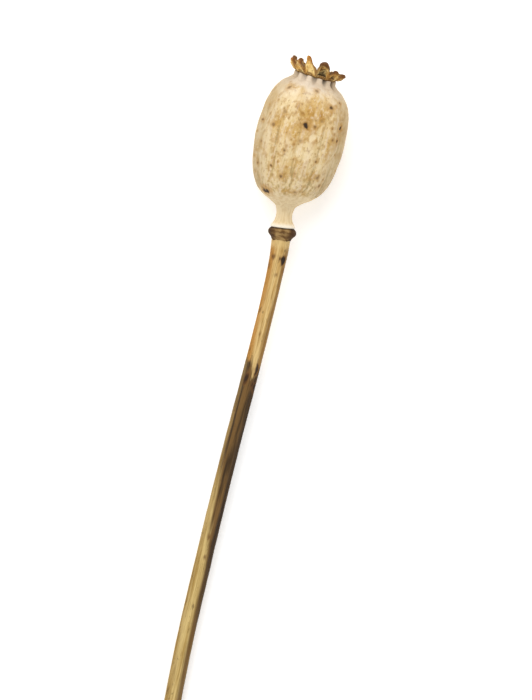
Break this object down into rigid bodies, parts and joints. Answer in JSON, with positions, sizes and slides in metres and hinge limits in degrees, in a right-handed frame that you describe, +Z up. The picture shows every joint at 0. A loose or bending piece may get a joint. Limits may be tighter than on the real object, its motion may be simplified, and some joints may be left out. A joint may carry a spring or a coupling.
{
  "type": "poppy seed head",
  "caption": "Dried poppy seed head lying on its side: a ribbed egg-shaped capsule with a crown of curled rays, a narrow neck and a dark ring, on a thin cut stem.",
  "frame": {"origin": "on the surface that the part lies on, under the middle of its bounding box", "axes": "+Y along the stem from its cut end to the crown, +Z up from the surface, +X to the right when looking down with the crown away from the viewer"},
  "size_m": [0.0268, 0.2446, 0.0266],
  "materials": {
    "capsule": "dry straw-coloured seed capsule, mottled ochre, with a pale waxy bloom and small dark specks",
    "stigma_crown": "dry golden-brown stigma rays with dark clefts",
    "receptacle_ring": "dark brown, corky and frayed along its lower edge",
    "stem": "dry tan stem, finely ridged, streaked and spotted dark brown"
  },
  "bodies": {
    "root": {"capsule": "capsule", "stigma_crown": "stigma_crown", "receptacle_ring": "receptacle_ring", "stem": "stem"}
  },
  "joints": []
}
